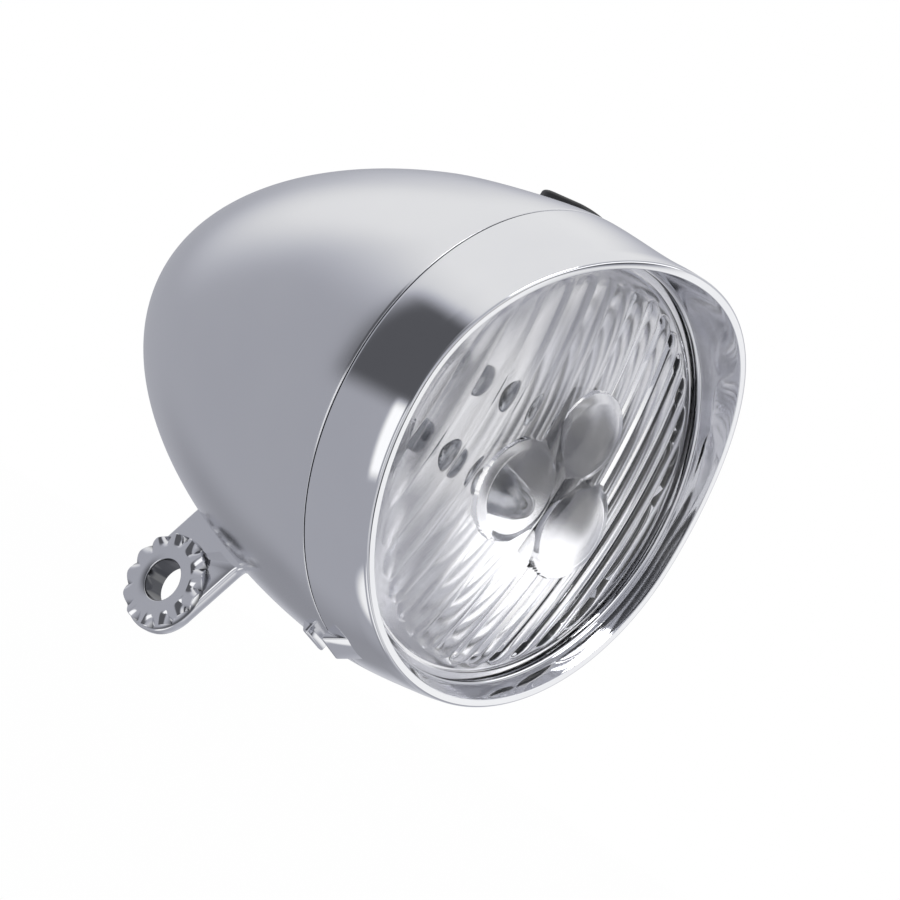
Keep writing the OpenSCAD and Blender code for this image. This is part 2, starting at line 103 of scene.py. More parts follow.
def around(r, y, phi):
    """Point at radius r and station y, at angle phi from the top towards +X."""
    r, y, phi = np.broadcast_arrays(r, y, phi)
    return np.stack([r * np.sin(phi), y, r * np.cos(phi)], -1)


class Build:
    """Collects grids and faces of one piece, in lamp millimetres."""

    def __init__(self):
        self.points, self.faces, self.count = [], [], 0

    def grid(self, p, wrap_u=False, wrap_v=False, flip=False):
        """Adds rows of points as quads, closed round either way on request."""
        p = np.asarray(p, float)
        m, n = p.shape[:2]
        self.points.append(p.reshape(-1, 3))
        i = np.arange(m if wrap_u else m - 1)
        j = np.arange(n if wrap_v else n - 1)
        i, j = np.meshgrid(i, j, indexing="ij")
        k, l = (i + 1) % m, (j + 1) % n
        quads = np.stack([i * n + j, k * n + j, k * n + l, i * n + l], -1)
        quads = quads.reshape(-1, 4) + self.count
        self.faces.extend((quads[:, ::-1] if flip else quads).tolist())
        self.count += m * n

    def make(self, name, body, slot, replaces, sharp=SHARP_ANGLE):
        """Turns what was collected into a piece."""
        mesh = bpy.data.meshes.new(name)
        mesh.from_pydata(row(np.concatenate(self.points)).tolist(), [], self.faces)
        finish_mesh(mesh, name, body, slot, replaces, sharp)


def finish_mesh(mesh, name, body, slot, replaces, sharp):
    """Welds and shades a mesh and places it as a piece on its body."""
    bm = bmesh.new()
    bm.from_mesh(mesh)
    bmesh.ops.remove_doubles(bm, verts=bm.verts, dist=WELD)
    bmesh.ops.dissolve_degenerate(bm, dist=TINY_EDGE, edges=bm.edges)
    bmesh.ops.recalc_face_normals(bm, faces=bm.faces)
    bm.to_mesh(mesh)
    bm.free()
    for poly in mesh.polygons:
        poly.use_smooth = True
    mesh.set_sharp_from_angle(angle=math.radians(sharp))
    obj = bpy.data.objects.new(name, mesh)
    bpy.context.scene.collection.objects.link(obj)
    mesh.materials.append(MATERIALS[slot])
    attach(obj, body)
    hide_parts(*replaces)


# Materials

NOISE_LOW, NOISE_HIGH = 0.3, 0.7


def new_material(name):
    """Material with its nodes, shader and texture coordinates."""
    mat = bpy.data.materials.new(name)
    mat.use_nodes = True
    nodes, links = mat.node_tree.nodes, mat.node_tree.links
    shader = nodes["Principled BSDF"]
    coords = nodes.new("ShaderNodeTexCoord")
    return mat, nodes, links, shader, coords


def noise(nodes, links, coords, scale, detail=3.0, rough=0.5):
    """Noise over the object's own coordinates."""
    tex = nodes.new("ShaderNodeTexNoise")
    tex.inputs["Scale"].default_value = scale
    tex.inputs["Detail"].default_value = detail
    tex.inputs["Roughness"].default_value = rough
    links.new(coords.outputs["Object"], tex.inputs["Vector"])
    return tex.outputs["Fac"]


def ramp(nodes, links, value, low, high):
    """Colour that runs from low to high over the noise's usual range."""
    node = nodes.new("ShaderNodeValToRGB")
    stops = zip(node.color_ramp.elements, (NOISE_LOW, NOISE_HIGH), (low, high))
    for stop, position, colour in stops:
        stop.position = position
        stop.color = (*colour, 1.0)
    links.new(value, node.inputs["Fac"])
    return node.outputs["Color"]


def spread(nodes, links, value, low, high):
    """Number that runs from low to high over the noise's usual range."""
    node = nodes.new("ShaderNodeMapRange")
    node.inputs["From Min"].default_value = NOISE_LOW
    node.inputs["From Max"].default_value = NOISE_HIGH
    node.inputs["To Min"].default_value = low
    node.inputs["To Max"].default_value = high
    links.new(value, node.inputs["Value"])
    return node.outputs["Result"]


def bump(nodes, links, shader, height, strength, distance):
    """Fine grain on a shader's normal."""
    node = nodes.new("ShaderNodeBump")
    node.inputs["Strength"].default_value = strength
    node.inputs["Distance"].default_value = distance
    links.new(height, node.inputs["Height"])
    links.new(node.outputs["Normal"], shader.inputs["Normal"])


def calc(tree, operation, *values):
    """Math node whose inputs are sockets or plain numbers."""
    node = tree.nodes.new("ShaderNodeMath")
    node.operation = operation
    for socket, value in zip(node.inputs, values):
        if isinstance(value, (int, float)):
            socket.default_value = value
        else:
            tree.links.new(value, socket)
    return node.outputs[0]


def colour_mix(tree, factor):
    """Node that goes from colour A to colour B with the given factor."""
    node = tree.nodes.new("ShaderNodeMix")
    node.data_type = "RGBA"
    tree.links.new(factor, node.inputs["Factor"])
    return node


def ease(tree, value, low, high, start=0.0, end=1.0):
    """Smooth step from start to end while the value goes from low to high."""
    node = tree.nodes.new("ShaderNodeMapRange")
    node.interpolation_type = "SMOOTHSTEP"
    for name, v in (("From Min", low), ("From Max", high), ("To Min", start), ("To Max", end)):
        node.inputs[name].default_value = v
    tree.links.new(value, node.inputs["Value"])
    return node.outputs["Result"]


def surface(name, low, high, rough, scale, metallic, grain):
    """A finish whose colour and roughness drift slowly over the surface.

    The grain is its noise scale, its strength and its depth in metres.
    """
    mat, nodes, links, shader, coords = new_material(name)
    drift = noise(nodes, links, coords, scale, detail=4.0, rough=0.55)
    links.new(ramp(nodes, links, drift, low, high), shader.inputs["Base Color"])
    links.new(spread(nodes, links, drift, *rough), shader.inputs["Roughness"])
    shader.inputs["Metallic"].default_value = metallic
    grain_scale, strength, depth = grain
    height = noise(nodes, links, coords, grain_scale, rough=0.6)
    bump(nodes, links, shader, height, strength, depth)
    return mat


# Painted shade on the lug: how far its bore and tooth valleys go towards the dark colour below
BORE_SHADE, VALLEY_SHADE = 0.86, 0.8
SHADE_COLOUR = (0.03, 0.032, 0.036, 1)


def painted_shade_recesses(mat):
    """Painted shade: a darker base colour inside the lug's bore and between its teeth."""
    tree = mat.node_tree
    nodes, links = tree.nodes, tree.links
    shader = nodes["Principled BSDF"]
    coords = nodes["Texture Coordinate"]
    split = nodes.new("ShaderNodeSeparateXYZ")
    links.new(coords.outputs["Object"], split.inputs[0])
    x, y, z = (calc(tree, "MULTIPLY", split.outputs[k], 1000.0) for k in ("X", "Y", "Z"))
    square = calc(tree, "ADD", calc(tree, "MULTIPLY", y, y), calc(tree, "MULTIPLY", z, z))
    radius = calc(tree, "SQRT", square)
    bore = ease(tree, radius, BORE + 0.04, BORE + 0.15, 1.0, 0.0)
    below_crests = ease(tree, x, RING_FACE + 0.3, RING_FACE + 1.1)
    above_arm = ease(tree, x, -ARM_T / 2 + 0.05, -ARM_T / 2 + 0.25, 1.0, 0.0)
    valley = calc(tree, "MULTIPLY", below_crests, above_arm)
    valley = calc(tree, "MULTIPLY", valley, ease(tree, radius, TEETH_IN, RING_R - 1))
    # painted shade: the base colour darkens in the bore and in the tooth valleys
    painted_shade = calc(tree, "MAXIMUM", calc(tree, "MULTIPLY", bore, BORE_SHADE),
                calc(tree, "MULTIPLY", valley, VALLEY_SHADE))
    mix = colour_mix(tree, painted_shade)
    links.new(shader.inputs["Base Color"].links[0].from_socket, mix.inputs["A"])
    mix.inputs["B"].default_value = SHADE_COLOUR
    links.new(mix.outputs["Result"], shader.inputs["Base Color"])
    return mat


def clear(name, colour, rough, ior):
    """Clear plastic with a slight haze."""
    mat, nodes, links, shader, coords = new_material(name)
    shader.inputs["Base Color"].default_value = (*colour, 1.0)
    shader.inputs["IOR"].default_value = ior
    shader.inputs["Transmission Weight"].default_value = 1.0
    haze = noise(nodes, links, coords, 160.0)
    links.new(spread(nodes, links, haze, *rough), shader.inputs["Roughness"])
    return mat


PLATE_LOW, PLATE_HIGH = (0.76, 0.765, 0.79), (0.79, 0.795, 0.815)
PLATE_GRAIN = (900.0, 0.02, 0.00005)
MATERIALS = {
    "chrome": surface("chrome_plate", PLATE_LOW, PLATE_HIGH, (0.045, 0.075),
                      60.0, 1.0, PLATE_GRAIN),
    "satin": surface("chrome_plate_satin", (0.755, 0.76, 0.785), (0.78, 0.785, 0.805),
                     (0.15, 0.19), 60.0, 1.0, PLATE_GRAIN),
    # the lug's chrome, with painted shade in its bore and between its teeth
    "lug": painted_shade_recesses(surface("chrome_plate_lug", PLATE_LOW, PLATE_HIGH, (0.06, 0.1),
                                 60.0, 1.0, PLATE_GRAIN)),
    "mirror": surface("mirror_coat", (0.86, 0.86, 0.87), (0.9, 0.9, 0.91),
                      (0.15, 0.18), 80.0, 1.0, (500.0, 0.02, 0.00005)),
    "lens": clear("clear_plastic", (0.99, 0.99, 1.0), (0.0, 0.01), 1.49),
    "epoxy": clear("lamp_epoxy", (0.42, 0.43, 0.45), (0.02, 0.05), 1.5),
    "button": surface("button_rubber", (0.008, 0.008, 0.009), (0.016, 0.016, 0.018),
                      (0.38, 0.5), 120.0, 0.0, (2500.0, 0.15, 0.00004)),
    "seal": surface("seal_rubber", (0.5, 0.5, 0.5), (0.56, 0.56, 0.56),
                    (0.5, 0.6), 120.0, 0.0, (1500.0, 0.15, 0.00005)),
    "black": surface("black_plastic", (0.022, 0.022, 0.024), (0.032, 0.032, 0.034),
                     (0.35, 0.45), 100.0, 0.0, (1400.0, 0.1, 0.00005)),
    "white": surface("white_plastic", (0.76, 0.76, 0.73), (0.82, 0.82, 0.8),
                     (0.3, 0.4), 100.0, 0.0, (900.0, 0.05, 0.00003)),
    "board": surface("circuit_board", (0.012, 0.13, 0.045), (0.02, 0.17, 0.065),
                     (0.25, 0.35), 140.0, 0.0, (800.0, 0.1, 0.00004)),
    "steel": surface("screw_steel", (0.52, 0.52, 0.54), (0.6, 0.6, 0.62),
                     (0.2, 0.32), 400.0, 1.0, (1800.0, 0.08, 0.00002)),
    "contact": surface("contact_steel", (0.6, 0.59, 0.56), (0.68, 0.67, 0.64),
                       (0.16, 0.26), 300.0, 1.0, (1500.0, 0.06, 0.00002)),
    "resistor": surface("resistor_body", (0.5, 0.34, 0.16), (0.58, 0.42, 0.2),
                        (0.3, 0.4), 500.0, 0.0, (1500.0, 0.05, 0.00002)),
    "cell": surface("cell_jacket", (0.07, 0.09, 0.13), (0.1, 0.12, 0.17),
                    (0.25, 0.35), 150.0, 0.5, (900.0, 0.03, 0.00002)),
}
NODE_FINISH = {
    "button_guide": "black", "button_pin": "white", "lens_seal": "seal",
    "retaining_ring": "black", "led_board": "board", "board_screws": "steel",
    "driver_chip": "black", "resistor": "resistor", "battery_tray": "black",
    "switch_board": "board", "switch_body": "black", "switch_plunger": "white",
    "cell_top": "cell", "cell_left": "cell", "cell_right": "cell",
    "front_contacts": "contact", "rear_contacts": "contact",
    "led_top": "epoxy", "led_left": "epoxy", "led_right": "epoxy",
}
for node_name, finish in NODE_FINISH.items():
    node_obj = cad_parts[node_name]
    node_obj.data.materials.clear()
    node_obj.data.materials.append(MATERIALS[finish])
    node_obj.data.set_sharp_from_angle(angle=math.radians(SHARP_ANGLE))

# Rear shell: skin of revolution with the button's hole, collar inside

# The skin has PHI_STEPS points round. The patch round the button, HOLE_CELLS cells
# each way and HOLE_SQUARE fore and aft, is a ring of quads round the hole.
PHI_STEPS, NOSE_ROWS, TAIL_ROWS = 288, 8, 84
PHI = np.arange(PHI_STEPS) * 2 * math.pi / PHI_STEPS
HOLE_CELLS, HOLE_RINGS, HOLE_SQUARE = 12, 13, 9.0
SEAM_EDGE, HOLE_EDGE = 0.08, 0.25
COLLAR_TOP, COLLAR_FOOT = 32.0, 28.95


def skin_with_hole(build, radius, y_front, y_tail, hole, flip):
    """Grid of revolution whose square round the button is a ring of quads."""
    ya, yb = BUTTON_Y - HOLE_SQUARE, BUTTON_Y + HOLE_SQUARE
    front = np.linspace(y_front, ya, NOSE_ROWS)
    middle = np.linspace(ya, yb, 2 * HOLE_CELLS + 1)
    t = np.linspace(math.asin((yb - CROWN_Y) / (y_tail - CROWN_Y)), math.pi / 2, TAIL_ROWS)
    back = CROWN_Y + (y_tail - CROWN_Y) * np.sin(t)
    back[0], back[-1] = yb, y_tail
    for ys in (front, back):
        p = around(radius(ys)[:, None], ys[:, None], PHI[None])
        build.grid(p, wrap_v=True, flip=flip)
    step = 2 * math.pi / PHI_STEPS
    phi = np.arange(HOLE_CELLS, PHI_STEPS - HOLE_CELLS + 1) * step
    build.grid(around(radius(middle)[:, None], middle[:, None], phi[None]), flip=flip)
    # the square, walked once round
    side = np.arange(-HOLE_CELLS, HOLE_CELLS) * step
    top = HOLE_CELLS * step
    ring = [(a, ya) for a in side] + [(top, y) for y in middle[:-1]]
    ring += [(-a, yb) for a in side] + [(-top, y) for y in middle[::-1][:-1]]
    ring = np.array(ring)
    x = radius(ring[:, 1]) * np.sin(ring[:, 0])
    y = ring[:, 1]
    edge = resize(np.stack([x, y, 0 * x], -1), hole)
    cx, cy = edge[:, 0], edge[:, 1]
    rows = []
    for k in np.linspace(0, 1, HOLE_RINGS):
        px, py = cx + (x - cx) * k, cy + (y - cy) * k
        r = radius(py)
        rows.append(around(r, py, np.arcsin(np.clip(px / r, -1, 1))))
    rows[-1] = around(radius(y), y, ring[:, 0])
    build.grid(np.array(rows), wrap_v=True, flip=flip)
    return rows[0]


def tube(build, rings):
    """Grid through closed loops of points."""
    build.grid(np.array(rings), wrap_v=True)


def press_pad(build):
    """Lowers the outer skin a little round the button, as a soft flat."""
    points = build.points
    for k, p in enumerate(points):
        turn = np.degrees(np.arctan2(p[:, 0], p[:, 2])) / PAD_TURN
        along = (p[:, 1] - BUTTON_Y) / PAD_REACH
        inside = np.clip(1 - turn ** 2, 0, 1) * np.clip(1 - along ** 2, 0, 1)
        scale = 1 - PAD_DROP * inside ** PAD_POWER / np.maximum(np.hypot(p[:, 0], p[:, 2]), 1)
        points[k] = p * np.stack([scale, np.ones_like(scale), scale], -1)


def flatten(loop, z):
    """Copy of a loop at height z."""
    out = np.array(loop)
    out[:, 2] = z
    return out


def resize(loop, half):
    """Oblong loop of the given half width round the button's middle line."""
    out = np.array(loop)
    middle = np.zeros((len(out), 2))
    middle[:, 1] = BUTTON_Y + np.clip(out[:, 1] - BUTTON_Y, -BUTTON_RUN, BUTTON_RUN)
    d = out[:, :2] - middle
    d *= half / np.linalg.norm(d, axis=1)[:, None]
    out[:, :2] = d + middle
    return out


shell = Build()
skin_with_hole(shell, shell_r, SEAM_EDGE, BODY_L, HOLE_HALF + HOLE_EDGE, False)
press_pad(shell)
rim_out = shell.points[-1].reshape(HOLE_RINGS, -1, 3)[0]
rim_in = skin_with_hole(shell, cavity_r, 0.0, BORE_L, COLLAR_OUT, True)
seam = [around(shell_r(0.0) - SEAM_EDGE + SEAM_EDGE * math.cos(a),
               SEAM_EDGE - SEAM_EDGE * math.sin(a), PHI) for a in quarter(6)]
seam[0] = around(shell_r(SEAM_EDGE), SEAM_EDGE, PHI)
seam.append(around(cavity_r(0.0), 0.0, PHI))
tube(shell, seam)
wall = [rim_out]
for a in quarter(6)[1:]:
    ring = resize(rim_out, HOLE_HALF + HOLE_EDGE * (1 - math.sin(a)))
    ring[:, 2] = rim_out[:, 2] - HOLE_EDGE * (1 - math.cos(a))
    wall.append(ring)
wall.append(flatten(wall[-1], COLLAR_TOP))
wall.append(flatten(resize(rim_out, COLLAR_IN), COLLAR_TOP))
wall.append(flatten(resize(rim_out, COLLAR_IN), COLLAR_FOOT))
wall.append(flatten(resize(rim_out, COLLAR_OUT), COLLAR_FOOT))
tube(shell, wall)
tube(shell, [resize(flatten(rim_in, COLLAR_FOOT), COLLAR_OUT), rim_in])
shell.make("shell_skin", "housing", "satin", ("rear_shell",))

# Lug: arm, toothed ring, boss and bore

# The arm's round end is centred ARM_PAST_HUB beyond the hub, and its plate has a
# hole HOLE_PLAY wider than the bore. The plate reaches ROOT_IN into the shell, and
# the ring and the boss start FOOT_IN inside the plate.
ARM_PAST_HUB, ARM_EDGE, HOLE_PLAY = 0.8, 0.6, 0.35
FRONT_FILLET, REAR_FILLET, BLEND_REACH = 2.3, 1.6, 1.8
ROOT_IN, ROOT_SIDE = 0.9, 0.2
TOOTH_STEPS, TOOTH_TURN, CREST_POWER = 14, math.radians(83), 1.7
TOOTH_EDGE, TOOTH_EDGE_DROP = 0.12, 0.1
BORE_EDGE, BOSS_EDGE, FOOT_IN, FOOT_WIDTH = 0.25, 0.3, 0.3, 1.5
BLEND_STEPS, BLEND_ROWS, BLEND_FRONT, BLEND_REAR = 61, 13, 0.8, 0.4

lug_y, lug_z = LUG_BACK, -LUG_DROP
down = np.array([math.sin(ARM_LEAN), -math.cos(ARM_LEAN)])
across = np.array([math.cos(ARM_LEAN), math.sin(ARM_LEAN)])
hub = np.array([lug_y, lug_z])
end_c = hub + ARM_PAST_HUB * down


def on_edge(side, t):
    """Point on the arm's edge, at distance t up from the hub."""
    return hub + side * ARM_HALF * across - t * down


def enters(side):
    """Distance from the hub at which the arm's edge meets the shell."""
    lo, hi = 0.0, LUG_DROP
    for _ in range(40):
        mid = (lo + hi) / 2
        p = on_edge(side, mid)
        if -p[1] < float(shell_r(p[0])):
            hi = mid
        else:
            lo = mid
    return lo


def fillet(side, radius):
    """Points of the concave corner between the arm's edge and the shell."""
    t = enters(side)
    c = on_edge(side, t)
    step = 0.1
    slope = float(shell_r(c[0] + step) - shell_r(c[0] - step)) / (2 * step)
    away = np.array([side * 1.0, -side * slope])
    away /= np.linalg.norm(away)
    a = c + radius * down
    b = c + radius * away
    pts = []
    for s in np.linspace(0, 1, 9):
        pts.append((1 - s) ** 2 * a + 2 * s * (1 - s) * c + s * s * b)
    pts.append(b + ROOT_IN * np.array([0.0, 1.0]) + ROOT_SIDE * away)
    return pts


front = fillet(-1, FRONT_FILLET)
rear = fillet(1, REAR_FILLET)
outline = [end_c + ARM_HALF * (math.cos(a) * -across + math.sin(a) * down)
           for a in np.linspace(0, math.pi, 49)]
top = []
for y in np.linspace(rear[-1][0], front[-1][0], 12)[1:-1]:
    top.append(np.array([y, -float(shell_r(y)) + ROOT_IN]))
outline = front[::-1] + outline + rear + top


def plate(name, loops, x0, x1, bevel, slot, replaces):
    """Flat piece across X from outlines in the Y-Z plane, with rounded edges."""
    curve = bpy.data.curves.new(name, "CURVE")
    curve.dimensions = "2D"
    curve.fill_mode = "BOTH"
    curve.extrude = ((x1 - x0) / 2 - bevel) * 0.001
    curve.bevel_depth = bevel * 0.001
    curve.bevel_resolution = 3
    curve.offset = -bevel * 0.001
    for loop in loops:
        spline = curve.splines.new("POLY")
        spline.points.add(len(loop) - 1)
        for p, (y, z) in zip(spline.points, loop):
            p.co = (y * 0.001, z * 0.001, 0.0, 1.0)
        spline.use_cyclic_u = True
    temp = bpy.data.objects.new(name + "_curve", curve)
    bpy.context.scene.collection.objects.link(temp)
    deps = bpy.context.evaluated_depsgraph_get()
    mesh = bpy.data.meshes.new_from_object(temp.evaluated_get(deps))
    bpy.data.objects.remove(temp)
    co = np.zeros(len(mesh.vertices) * 3)
    mesh.vertices.foreach_get("co", co)
    co = co.reshape(-1, 3) * 1000
    out = np.stack([co[:, 2] + (x0 + x1) / 2, co[:, 0], co[:, 1]], -1)
    mesh.vertices.foreach_set("co", row(out).ravel())
    mesh.materials.clear()
    mesh.name = name
    finish_mesh(mesh, name, "housing", slot, replaces, sharp=40)


hole = [hub + (BORE + HOLE_PLAY) * np.array([math.cos(a), -math.sin(a)]) for a in full_turn(96)]
plate("lug_arm", [outline, hole], -ARM_T / 2, ARM_T / 2, ARM_EDGE, "chrome", ("rear_shell",))


def blend(name, side, reach):
    """Fillet between one face of the arm and the shell, running out at both ends."""
    face = side * ARM_T / 2
    y0 = on_edge(-1, enters(-1))[0] - BLEND_FRONT
    y1 = on_edge(1, enters(1))[0] + BLEND_REAR
    t = np.linspace(0, 1, BLEND_STEPS)
    y = y0 + (y1 - y0) * t
    rho = reach * np.sqrt(np.maximum(0, 1 - (2 * t - 1) ** 4))
    corner_z = -np.sqrt(shell_r(y) ** 2 - face ** 2)
    slope = np.gradient(corner_z, y)
    norm = np.sqrt(1 + slope ** 2)
    corner = np.stack([np.full_like(y, face), y, corner_z], -1)
    on_arm = corner + np.stack([0 * y, rho * slope / norm, -rho / norm], -1)
    out_x = face + side * rho
    on_shell = np.stack([out_x, y, -np.sqrt(shell_r(y) ** 2 - out_x ** 2)], -1)
    strip = Build()
    rows = [(1 - s) ** 2 * on_arm + 2 * s * (1 - s) * corner + s * s * on_shell
            for s in np.linspace(0, 1, BLEND_ROWS)]
    rows.append(corner + np.stack([-side * 0.2 * rho, 0 * y, 0.3 * rho], -1))
    strip.grid(np.array(rows), wrap_u=True)
    strip.make(name, "housing", "chrome", ("rear_shell",), sharp=40)


blend("lug_blend_left", -1, BLEND_REACH)
blend("lug_blend_right", 1, BLEND_REACH)


def lug_ring(x, r, a):
    """Circle round the lug's bore at station x."""
    return np.stack(np.broadcast_arrays(x, lug_y + r * np.cos(a), lug_z + r * np.sin(a)), -1)


def ring_row(r):
    """One circle of the toothed face: sharp valleys and rounded crests."""
    cut = TEETH_CUT * max(0.0, r - TEETH_IN) / (RING_R - TEETH_IN)
    k = np.arange(TEETH * TOOTH_STEPS)
    angles = (k / TOOTH_STEPS) * 2 * math.pi / TEETH + TOOTH_TURN
    rise = 1 - np.abs(2 * (k % TOOTH_STEPS) / TOOTH_STEPS - 1)
    return lug_ring(RING_FACE + cut * (1 - rise) ** CREST_POWER, r, angles)


ring = Build()
rows = []
base = ring_row(TEETH_IN - 0.01)
base_angles = np.arctan2(base[:, 2] - lug_z, base[:, 1] - lug_y)
for x in (BOSS_FACE - BORE_EDGE, 0.0, RING_FACE + BORE_EDGE):
    rows.append(lug_ring(x, BORE, base_angles))
for a in quarter(5)[1:]:
    rows.append(lug_ring(RING_FACE + BORE_EDGE * (1 - math.sin(a)),
                         BORE + BORE_EDGE * (1 - math.cos(a)), base_angles))
rows.append(base)
for r in np.linspace(TEETH_IN, RING_R - TOOTH_EDGE, 10):
    rows.append(ring_row(r))
last = ring_row(RING_R)
last[:, 0] += TOOTH_EDGE_DROP
rows.append(last)
foot = np.array(last)
foot[:, 0] = -ARM_T / 2 + FOOT_IN
rows.append(foot)
rows.append(lug_ring(-ARM_T / 2 + FOOT_IN, RING_R - FOOT_WIDTH, base_angles))
ring.grid(np.array(rows), wrap_v=True)
ring.make("lug_teeth", "housing", "lug", ("rear_shell",), sharp=30)

boss = Build()
angles = full_turn(96)
inner = BORE + 0.02
rows = [lug_ring(RING_FACE + 0.6, inner, angles), lug_ring(BOSS_FACE - BORE_EDGE, inner, angles)]
for a in quarter(5)[1:]:
    rows.append(lug_ring(BOSS_FACE - BORE_EDGE * (1 - math.sin(a)),
                         inner + (BORE_EDGE - 0.02) * (1 - math.cos(a)), angles))
for a in quarter(5):
    rows.append(lug_ring(BOSS_FACE - BOSS_EDGE * (1 - math.cos(a)),
                         BOSS_R - BOSS_EDGE * (1 - math.sin(a)), angles))
rows.append(lug_ring(ARM_T / 2 - FOOT_IN, BOSS_R, angles))
boss.grid(np.array(rows), wrap_v=True)
boss.make("lug_boss", "housing", "lug", ("rear_shell",), sharp=40)

# Pry lips

LIP_ROOT, LIP_TIP, LIP_HALF, LIP_BEVEL = -35.3, -37.45, 2.6, 0.28


def pry_lip(name, body, turn, tip, root, replaces):
    """Small wedge under the body, turned towards -X by the given degrees.

    tip holds its first and last station at the tip, and root the last at the body.
    """
    profile = [(tip[0], LIP_ROOT), (tip[0], LIP_TIP), (tip[1], LIP_TIP), (root, LIP_ROOT)]
    bm = bmesh.new()
    t = math.radians(turn)
    ends = []
    for x in (-LIP_HALF, LIP_HALF):
        loop = []
        for y, z in profile:
            px, pz = x * math.cos(t) + z * math.sin(t), -x * math.sin(t) + z * math.cos(t)
            loop.append(bm.verts.new(row([px, y, pz])))
        ends.append(loop)
    n = len(profile)
    bm.faces.new(ends[0])
    bm.faces.new(ends[1][::-1])
    for i in range(n):
        bm.faces.new([ends[0][i], ends[0][(i + 1) % n], ends[1][(i + 1) % n], ends[1][i]])
    bmesh.ops.recalc_face_normals(bm, faces=bm.faces)
    bmesh.ops.bevel(bm, geom=list(bm.edges), offset=LIP_BEVEL * 0.001, segments=3,
                    profile=0.5, affect="EDGES", clamp_overlap=True)
    mesh = bpy.data.meshes.new(name)
    bm.to_mesh(mesh)
    bm.free()
    finish_mesh(mesh, name, body, "chrome", replaces, sharp=40)


pry_lip("pry_lip_rear", "housing", turn=12.6, tip=(3.6, 4.5), root=6.2,
        replaces=("rear_shell",))
pry_lip("pry_lip_front", "front", turn=14.7, tip=(-SEAM_GAP, -0.6), root=-4.4,
        replaces=("bezel",))

# Bezel

# The outer face ends LIP_SET behind the rim's front edge. LIP_OUT and LIP_IN are
# the rim's roundings, and the land between them dips by up to LAND_DIP at the
# angle -LAND_TURN from the top. The inner wall ends at a rounded mouth.
SPIGOT_END, SPIGOT_CHAMFER, FACE_START = 3.0, 0.3, -0.3
LIP_SET, LIP_OUT, LIP_IN, LAND_DIP, LAND_TURN = 0.55, 0.4, 0.12, 0.2, 0.5
WALL_END, MOUTH_EDGE, MOUTH_RUN = -LENS_EDGE - 0.9, 0.45, 0.7
NIB_TURNS, NIB_FRONT, NIB_BACK, NIB_HALF = (30, 150, 270), -1.75, -0.85, 2.0
NIB_TIP_R, NIB_FOOT_R = SEAT_R - 0.9, SEAT_R + 0.5


def rim_y(phi):
    """Station of the rim's front edge round the lamp."""
    z = RIM_R * np.cos(phi)
    arc = PEAK_ARC - np.sqrt(PEAK_ARC ** 2 - np.maximum(z, 0) ** 2)
    return -(RIM_DEPTH + arc)


bezel = Build()
rows = [around(SEAT_R, SPIGOT_END, PHI), around(SPIGOT_R - SPIGOT_CHAMFER, SPIGOT_END, PHI),
        around(SPIGOT_R, SPIGOT_END - 2 * SPIGOT_CHAMFER, PHI),
        around(SPIGOT_R, -SEAM_GAP, PHI)]
for a in quarter(6):
    rows.append(around(shell_r(FACE_START) - SEAM_EDGE + SEAM_EDGE * math.sin(a),
                       -SEAM_GAP - SEAM_EDGE + SEAM_EDGE * math.cos(a), PHI))
yr = rim_y(PHI)
face_end = yr + LIP_SET
for s in np.linspace(0, 1, 60)[1:]:
    y = FACE_START + s * (face_end - FACE_START)
    roll = np.clip(1 - (y - face_end) / ROLL_RUN, 0, 1)
    rows.append(around(shell_r(y) - ROLL_DROP * roll ** 2, y, PHI))
rim_out_r = shell_r(face_end) - ROLL_DROP
for a in quarter(9):
    rows.append(around(rim_out_r - LIP_OUT + LIP_OUT * math.cos(a),
                       yr + LIP_OUT - LIP_OUT * math.sin(a), PHI))
# the land leans inwards at the top, towards -X, away from the tent's dark strip
inner_r = rim_out_r - RIM_WALL
land = yr + LAND_DIP * np.maximum(0, np.cos(PHI + LAND_TURN))
for a in quarter(5):
    rows.append(around(inner_r + LIP_IN - LIP_IN * math.sin(a),
                       land + LIP_IN - LIP_IN * math.cos(a), PHI))
for s in np.linspace(0, 1, 10)[1:]:
    rows.append(around(inner_r + s * (MOUTH_R + MOUTH_EDGE - inner_r),
                       (1 - s) * (land + LIP_IN) + s * WALL_END, PHI))
for a in quarter(6)[1:]:
    rows.append(around(MOUTH_R + MOUTH_EDGE * math.cos(a),
                       WALL_END + MOUTH_RUN * math.sin(a), PHI))
rows.append(around(MOUTH_R, -LENS_EDGE, PHI))
rows.append(around(SEAT_R, -LENS_EDGE, PHI))
bezel.grid(np.array(rows), wrap_u=True, wrap_v=True)
# three nibs that hold the retaining ring, at degrees round the beam
nib = [(NIB_TIP_R, -NIB_HALF), (NIB_FOOT_R, -NIB_HALF),
       (NIB_FOOT_R, NIB_HALF), (NIB_TIP_R, NIB_HALF)]
for angle in NIB_TURNS:
    c, s = math.cos(math.radians(angle)), math.sin(math.radians(angle))
    box = np.array([[[r * c + w * s, y, w * c - r * s] for r, w in nib]
                    for y in (NIB_FRONT, NIB_BACK)])
    bezel.grid(box, wrap_v=True)
    for end in box:
        bezel.grid(np.array([[end[0], end[1]], [end[3], end[2]]]))
bezel.make("bezel_skin", "front", "chrome", ("bezel",))

# Lens: fluted dome with three round windows, smooth inside

FRONT_R, BACK_R, LENS_BACK = MOUTH_R - 0.05, MOUTH_R - 1.2, -5.9
FLUTE_SCALLOP, WINDOW_SINK = 0.8, 0.25
DISC_FLAT, TIP_COLUMNS = 0.93, 25
FRONT_GRID, BACK_GRID = (440, 340), (440, 90)


